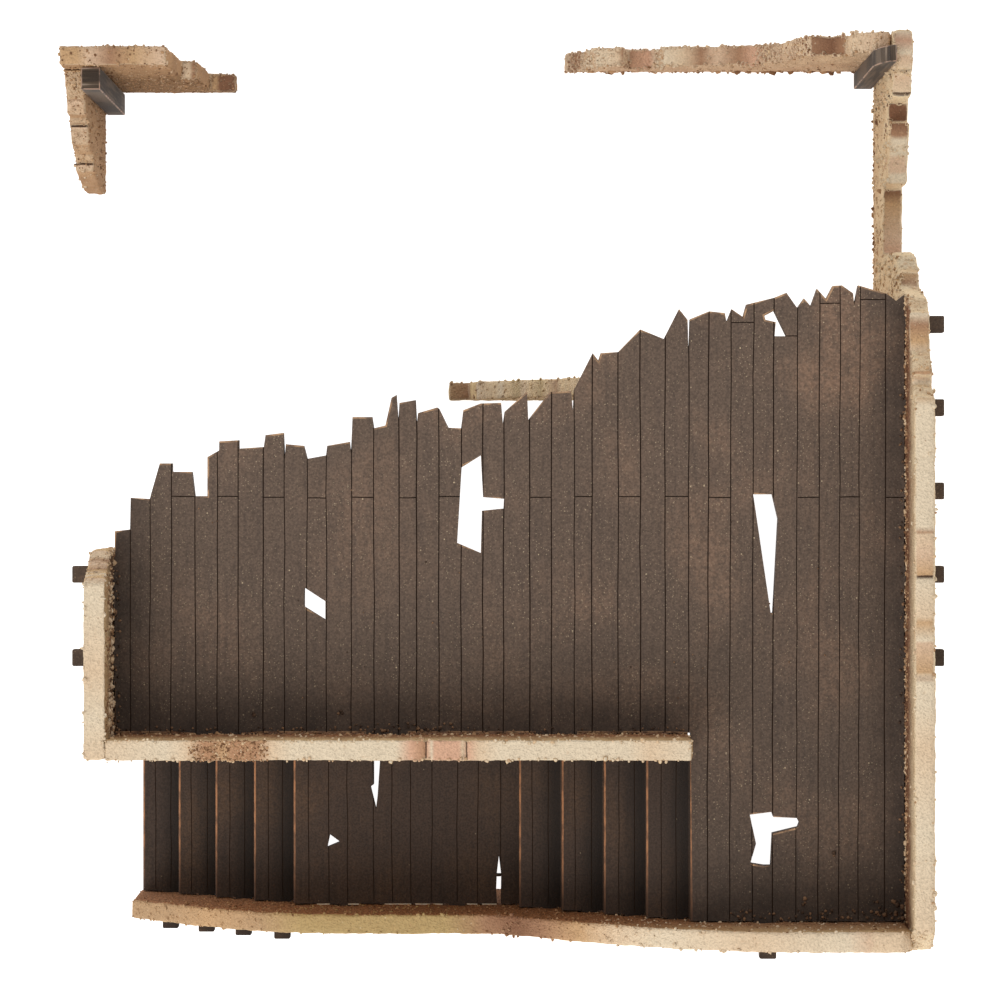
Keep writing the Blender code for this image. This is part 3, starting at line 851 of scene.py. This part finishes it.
def with_crumbs(mesh, rows, index, rng):
    """Add loose crumbs to the upper floor, in rows like FLOOR_CRUMBS."""
    shape = bmesh.new()
    shape.from_mesh(mesh)
    for count, across, along, largest in rows:
        for _ in range(count):
            size = largest * rng.uniform(0.35, 1.0) * MM
            middle = Vector((rng.uniform(*across), rng.uniform(*along), FLOOR_TOP)) * MM
            middle.z += 0.3 * size
            crumb = bmesh.ops.create_icosphere(shape, subdivisions=1, radius=size)
            faces = set()
            for vertex in crumb["verts"]:
                vertex.co = vertex.co * rng.uniform(0.65, 1.2) + middle
                faces.update(vertex.link_faces)
            for face in faces:
                face.material_index = index
                face.smooth = True
    shape.to_mesh(mesh)
    shape.free()
    return mesh


def anywhere(place, normal):
    return place[2] > 1.0


def top_rims(place, normal):
    """The rounded edges of a wall's top."""
    return (normal[2] > 0.25) & (normal[2] < 0.85) & (place[2] > 2.0)


def top_faces(place, normal):
    return (normal[2] > 0.6) & (place[2] > 2.0)


def broken_end(place, normal):
    """The inner face of the long wall behind the upper floor, rough with fallen sand."""
    return (normal[0] < -0.5) & (place[1] > 34.0) & (place[2] > 1.0)


def rough_patch(place, normal):
    """Where the paint of the front wall's top is rubbed off."""
    return (normal[2] > 0.6) & (place[0] > -54.0) & (place[0] < -40.0) & (place[2] > 80.0)


def corner_seams(place, normal):
    """Where the long wall meets the back wall and the parapet, near their tops."""
    back = (place[1] > 76.0) & (place[1] < 80.4) & (place[2] > 44.0)
    front = (place[1] > -80.4) & (place[1] < -77.2) & (place[2] > 79.0)
    return (normal[0] < -0.2) & (place[0] < 73.0) & (back | front)


def near_height(low, high):
    return lambda place, normal: (place[2] > low) & (place[2] < high) & (abs(normal[2]) < 0.5)


def inner_near_height(axis, sign, low, high):
    """Points of the face whose normal has this sign on this axis, between two heights."""
    def where(place, normal):
        return (normal[axis] * sign > 0.6) & (place[2] > low) & (place[2] < high)
    return where


def make_wall(node, material, cell, rough, seed, grits, notches=()):
    """A sanded wall. Its mesh has cells of this size, and rough is how uneven its coat is."""
    mesh = with_grit(coated_mesh(node, cell, rough, seed, notches), grits, seed)
    materials = [material, MATERIALS["grit"], MATERIALS["dark_grit"]]
    stand_for(object_of("coated_" + node, mesh, materials), node)


# Colours along the top of each wall: (millimetres along it, colour).
RIGHT_BANDS = (
    (-81.0, WARM_CREAM), (-60.0, CREAM), (-45.0, WARM_CREAM), (-38.0, CREAM), (-33.6, CREAM),
    (-33.3, DARK_TAN), (-32.8, CREAM), (-32.3, TAN), (-27.0, PINK_CREAM), (-26.6, CREAM),
    (-23.5, TAN), (-22.6, WARM_CREAM), (-16.0, CREAM), (-15.6, CRACK), (-15.2, TAN),
    (-11.8, PINK_CREAM), (-8.2, WARM_CREAM), (-7.8, DARK_TAN), (-7.2, CREAM), (14.0, CREAM),
    (16.0, TAN), (18.0, CREAM), (19.8, BRICK), (20.4, TAN), (24.0, WARM_CREAM), (25.5, TAN),
    (28.5, DARK_TAN), (30.4, CREAM), (32.0, TAN), (34.0, CREAM), (36.0, DARK_TAN),
)
RIGHT_BACK_BANDS = (
    (35.3, PINK_CREAM), (36.6, DARK_TAN), (38.6, TAN), (39.4, CREAM), (42.4, CREAM),
    (43.0, PINK), (47.0, PINK_CREAM), (53.0, TAN), (55.6, BROWN), (56.2, CREAM), (57.8, CREAM),
    (58.4, PINK_CREAM), (61.0, PINK_CREAM), (61.4, CREAM), (64.0, CREAM), (64.8, DARK_TAN),
    (67.2, BROWN), (71.0, BROWN), (71.5, CREAM), (71.9, CRACK), (72.4, WARM_CREAM),
    (75.6, PINK_CREAM), (76.0, CRACK), (76.4, WARM_CREAM), (78.5, PINK_CREAM), (79.2, CREAM),
    (81.5, PINK), (83.5, CREAM),
)
FRONT_BANDS = (
    (-72.0, WARM_CREAM), (-58.0, CREAM), (-54.0, WARM_CREAM), (-51.5, BRICK), (-49.5, BRICK),
    (-47.8, TAN), (-46.5, BRICK), (-42.0, BRICK), (-39.5, WARM_CREAM), (-36.0, CREAM),
    (-18.0, CREAM), (-15.5, PINK), (-13.0, BRICK), (-12.4, PINK), (-11.9, CREAM),
    (-11.4, PINK), (-7.0, PINK), (-6.5, WARM_CREAM), (-5.5, PINK), (-3.6, WARM_CREAM),
    (0.0, CREAM), (22.0, CREAM), (26.0, WARM_CREAM), (33.5, CREAM),
)
PARAPET_BANDS = (
    (-69.0, SHADE_TAN), (-61.0, SHADE_TAN), (-54.0, TAN), (-44.0, SHADE_TAN), (-36.0, OLIVE),
    (-22.0, OLIVE), (-10.0, OLIVE), (-2.5, DARK_TAN), (3.0, BROWN), (8.0, DARK_TAN),
    (14.0, TAN), (20.0, WARM_CREAM), (28.0, CREAM), (44.0, WARM_CREAM), (60.0, CREAM),
    (64.0, PINK_CREAM), (64.6, WARM_CREAM), (75.5, WARM_CREAM),
)
LEFT_BANDS = (
    (-47.5, WARM_CREAM), (-40.0, CREAM), (-32.0, WARM_CREAM), (-20.0, CREAM), (-17.0, CREAM),
    (-15.8, PINK_CREAM), (-15.2, CREAM), (-14.4, DARK_TAN), (-13.4, PINK_CREAM),
    (-12.8, DARK_TAN), (-12.2, WARM_CREAM), (-11.0, PINK_CREAM),
)
BACK_BANDS = (
    (12.4, BROWN), (15.4, DARK_TAN), (16.4, CREAM), (22.4, WARM_CREAM), (23.4, DARK_TAN),
    (28.5, PINK), (30.0, CREAM), (34.5, WARM_CREAM), (38.0, DARK_TAN), (41.0, PINK_CREAM),
    (45.0, DARK_TAN), (48.0, PINK), (50.0, DARK_TAN), (53.5, PINK_CREAM), (55.5, DARK_TAN),
    (61.5, BROWN), (63.5, DARK_TAN), (64.5, WARM_CREAM), (70.0, PINK_CREAM), (75.5, WARM_CREAM),
)
PARTITION_BANDS = (
    (-10.0, SHADE_TAN), (-5.6, DARK_TAN), (-5.2, TAN), (-4.6, DARK_TAN), (-4.2, CREAM),
    (-3.8, WARM_CREAM), (-1.0, PALE_OLIVE), (0.2, CREAM), (1.0, PALE_OLIVE), (3.4, OLIVE),
    (4.4, WARM_CREAM), (5.4, PALE_OLIVE), (7.6, OLIVE), (8.4, PALE_OLIVE), (10.4, DARK_TAN),
    (11.2, PALE_OLIVE),
    (12.0, PALE_OLIVE), (20.0, WARM_CREAM), (72.0, PALE_OLIVE),
)
LOOSE_BACK_BANDS = (
    (-79.5, TAN), (-76.0, TAN), (-74.0, PINK_CREAM), (-70.0, DARK_TAN), (-66.0, TAN),
    (-61.0, PINK_CREAM), (-57.8, WARM_CREAM), (-57.0, DARK_TAN), (-54.5, TAN), (-53.6, BROWN),
    (-49.0, BROWN), (-48.7, CREAM), (-47.8, CREAM),
)
LOOSE_SIDE_BANDS = (
    (56.5, CREAM), (59.2, WARM_CREAM), (59.8, PINK_CREAM), (60.15, PINK_CREAM), (60.25, CRACK),
    (60.55, CRACK), (60.65, TAN), (66.3, PINK_CREAM), (66.4, CRACK), (66.75, CRACK),
    (66.85, TAN), (70.5, PINK_CREAM), (70.8, DARK_TAN), (71.1, TAN), (79.5, TAN),
)


# Cracks across the tops: along x in the front wall, and along y in the others.
FRONT_JOINTS = (-12.8, -5.8)
RIGHT_JOINTS = (76.2, 72.2, 71.0, -15.5)
LOOSE_JOINTS = (60.4, 66.6)


def make_walls():
    floor_line = (FLOOR_TOP - 0.5, FLOOR_TOP + 2.6)
    make_wall("right_wall", MATERIALS["right"], 0.62, 0.17, 1, [
        (420, 0.18, 0.50, SAND, anywhere),
        (320, 0.16, 0.50, SAND, top_rims),
        (120, 0.16, 0.45, PALE, top_rims),
        (300, 0.18, 0.50, PALE, inner_near_height(0, -1, *floor_line)),
        (520, 0.16, 0.48, DARK, inner_near_height(0, -1, FLOOR_TOP - 0.5, FLOOR_TOP + 6.0)),
        (420, 0.20, 0.75, SAND, broken_end),
        (160, 0.20, 0.60, PALE, broken_end),
        (300, 0.30, 0.50, SAND, corner_seams),
        (240, 0.18, 0.60, DARK, near_height(0.5, 4.0)),
    ], [(1, joint) for joint in RIGHT_JOINTS])
    make_wall("front_wall", MATERIALS["front"], 0.55, 0.15, 2, [
        (160, 0.16, 0.42, SAND, anywhere),
        (420, 0.15, 0.42, SAND, top_rims),
        (100, 0.15, 0.40, PALE, top_rims),
        (320, 0.15, 0.50, DARK, inner_near_height(1, 1, *floor_line)),
        (200, 0.15, 0.45, PALE, inner_near_height(1, 1, FLOOR_TOP, 87.0)),
        (80, 0.15, 0.45, DARK, near_height(0.5, 3.0)),
        (260, 0.12, 0.30, DARK, rough_patch),
        (90, 0.12, 0.30, PALE, rough_patch),
    ], [(0, joint) for joint in FRONT_JOINTS])
    make_wall("stair_parapet", MATERIALS["parapet"], 0.60, 0.17, 3, [
        (240, 0.16, 0.45, SAND, anywhere),
        (340, 0.15, 0.45, SAND, top_rims),
        (900, 0.13, 0.36, DARK, inner_near_height(1, 1, 20.0, 88.0)),
        (700, 0.13, 0.36, SAND, inner_near_height(1, 1, 30.0, 88.0)),
        (140, 0.15, 0.45, DARK, near_height(0.5, 3.0)),
    ])
    make_wall("left_wall", MATERIALS["left"], 0.50, 0.16, 4, [
        (110, 0.16, 0.50, SAND, anywhere),
        (120, 0.15, 0.50, SAND, top_rims),
        (260, 0.18, 0.60, PALE, inner_near_height(0, 1, FLOOR_TOP - 0.5, 80.0)),
        (140, 0.16, 0.50, DARK, inner_near_height(0, 1, FLOOR_TOP - 0.5, 87.0)),
    ])
    make_wall("back_wall", MATERIALS["back"], 0.45, 0.26, 5, [
        (360, 0.16, 0.55, SAND, anywhere),
        (620, 0.16, 0.60, SAND, top_rims),
        (160, 0.15, 0.42, PALE, top_rims),
        (100, 0.14, 0.40, DARK, top_rims),
        (90, 0.20, 0.80, DARK, inner_near_height(1, -1, 0.0, 3.0)),
        (70, 0.16, 0.50, SAND, inner_near_height(1, -1, 0.0, 3.0)),
        (70, 0.15, 0.50, PALE, inner_near_height(1, 1, 0.0, 12.0)),
    ])
    make_wall("partition_wall", MATERIALS["partition"], 0.50, 0.18, 6, [
        (200, 0.16, 0.48, SAND, anywhere),
        (100, 0.16, 0.50, SAND, top_rims),
        (60, 0.12, 0.26, PALE, top_rims),
    ])
    make_wall("loose_back_wall", MATERIALS["loose_back"], 0.42, 0.18, 7, [
        (120, 0.16, 0.45, SAND, anywhere),
        (110, 0.16, 0.45, SAND, top_rims),
        (420, 0.12, 0.32, DARK, inner_near_height(1, -1, 0.0, 60.0)),
        (160, 0.12, 0.30, SAND, inner_near_height(1, -1, 0.0, 60.0)),
        (90, 0.12, 0.30, DARK, top_faces),
        (70, 0.12, 0.28, SAND, top_faces),
    ])
    make_wall("loose_side_wall", MATERIALS["loose_side"], 0.42, 0.18, 8, [
        (140, 0.16, 0.50, SAND, anywhere),
        (110, 0.16, 0.50, SAND, top_rims),
        (240, 0.12, 0.36, DARK, inner_near_height(0, 1, 0.0, 60.0)),
        (110, 0.12, 0.30, SAND, inner_near_height(0, 1, 0.0, 60.0)),
        (80, 0.12, 0.30, DARK, top_faces),
        (80, 0.12, 0.28, SAND, top_faces),
    ], [(1, joint) for joint in LOOSE_JOINTS])


# ---------------------------------------------------------------- stage

def make_camera():
    data = bpy.data.cameras.new("camera")
    data.sensor_width = 36.0
    data.lens = FOCAL_LENGTH
    data.clip_start = 0.01
    data.clip_end = 20.0
    camera = bpy.data.objects.new("camera", data)
    camera.location = (0.0, CAMERA_Y, CAMERA_HEIGHT)
    bpy.context.scene.collection.objects.link(camera)
    bpy.context.scene.camera = camera


def make_light(name, place, aim, size, power, colour=(1.0, 1.0, 1.0)):
    data = bpy.data.lights.new(name, "AREA")
    data.shape = "DISK"
    data.size = size
    data.energy = power
    data.color = colour
    light = bpy.data.objects.new(name, data)
    light.location = place
    light.rotation_euler = (Vector(aim) - Vector(place)).to_track_quat("-Z", "Y").to_euler()
    bpy.context.scene.collection.objects.link(light)


def make_stage():
    shape = bmesh.new()
    bmesh.ops.create_grid(shape, x_segments=1, y_segments=1, size=4.0)
    mesh = bpy.data.meshes.new("table")
    shape.to_mesh(mesh)
    shape.free()
    material = bpy.data.materials.new("table_white")
    material.use_nodes = True
    surface = material.node_tree.nodes["Principled BSDF"]
    surface.inputs["Base Color"].default_value = (0.6, 0.6, 0.6, 1.0)
    surface.inputs["Roughness"].default_value = 1.0
    surface.inputs["Specular IOR Level"].default_value = 0.0
    surface.inputs["Emission Color"].default_value = (1.0, 1.0, 1.0, 1.0)
    surface.inputs["Emission Strength"].default_value = 1.0
    table = object_of("table", mesh, [material])
    table.location.z = -0.0005

    world = bpy.data.worlds.new("studio")
    world.use_nodes = True
    sky = world.node_tree.nodes["Background"]
    sky.inputs["Color"].default_value = (1.0, 1.0, 1.0, 1.0)
    sky.inputs["Strength"].default_value = 0.78
    bpy.context.scene.world = world
    make_light("key", (-0.5, -0.7, 1.1), (0.0, 0.0, 0.03), 0.9, 9.0)
    bpy.context.scene.view_settings.view_transform = "Standard"


make_camera()
make_stage()

MATERIALS = {
    "right": sand_material("sand_right", "y", 0.15, RIGHT_BANDS, paint(220, 196, 160),
                           paint(196, 162, 124), RIGHT_BACK_BANDS,
                           inner=("X", -1.0, 74.0, 87.0, 33.0, paint(126, 86, 62)), joints=RIGHT_JOINTS),
    "front": sand_material("sand_front", "x", 0.12, FRONT_BANDS,
                           inner=("Y", 1.0, 74.0, 88.0, 0.0, RUST), joints=FRONT_JOINTS),
    "parapet": sand_material("sand_parapet", "x", 1.2, PARAPET_BANDS, crest_highlight_share=0.0,
                             slope=(0.30, 0.55),
                             inner=("Y", 1.0, 66.0, 96.0, 0.0, paint(150, 108, 78))),
    "left": sand_material("sand_left", "y", 0.15, LEFT_BANDS, slope=(0.20, 0.45),
                          inner=("X", 1.0, 74.0, 84.0, 0.0, paint(104, 78, 58))),
    "back": sand_material("sand_back", "x", 0.4, BACK_BANDS, paint(208, 180, 148),
                          paint(172, 138, 110)),
    "partition": sand_material("sand_partition", "x", 0.3, PARTITION_BANDS, PALE_OLIVE, OLIVE,
                               slope=(0.25, 0.45)),
    # The loose back wall's inner face gets painted shade, darkest low down.
    "loose_back": sand_material("sand_loose_back", "x", 0.3, LOOSE_BACK_BANDS,
                                paint(172, 134, 96), paint(130, 96, 66),
                                inner=("Y", -1.0, 25.0, 50.0, 200.0, paint(128, 96, 64))),
    "loose_side": sand_material("sand_loose_side", "y", 0.1, LOOSE_SIDE_BANDS,
                                paint(180, 144, 108), paint(146, 110, 78),
                                joints=LOOSE_JOINTS),
    "grit": grit_material(),
    "dark_grit": dark_grit_material(),
    "crumb": crumb_material(),
    "plank": plank_material(),
    "stair": stair_material("stair_stain"),
    "lower_flight": stair_material("lower_flight_stain_and_riser_shade", LOWER_FRONT, LOWER_GOING),
    "upper_flight": stair_material("upper_flight_stain_and_riser_shade", UPPER_FRONT, UPPER_GOING),
    "groove": groove_material(),
    "rim": rim_material(),
    "nosing": nosing_material(),
    "glue": glue_material(),
    "char": char_material("charred_wood", 1.0, 0.05),
    "loose_char": char_material("loose_charred_wood", 0.05, 1.0),
    "char_edge": char_edge_material(),
}

make_floor([MATERIALS[name] for name in ("plank", "groove", "rim", "crumb", "nosing")])
make_landing([MATERIALS["stair"], MATERIALS["groove"], MATERIALS["nosing"], MATERIALS["glue"]])
make_treads((1, 2, 3, 4), [MATERIALS["lower_flight"], MATERIALS["groove"], MATERIALS["nosing"]])
make_treads((5, 6, 7, 8), [MATERIALS["upper_flight"], MATERIALS["groove"], MATERIALS["nosing"]])
make_post("corner_post", MATERIALS["char"])
make_post("loose_corner_post", MATERIALS["loose_char"])
make_walls()
for number in range(1, RISERS + 1):
    riser = frame["nodes"][f"riser_{number:02d}"]
    riser.data.materials.clear()
    riser.data.materials.append(MATERIALS["stair"])
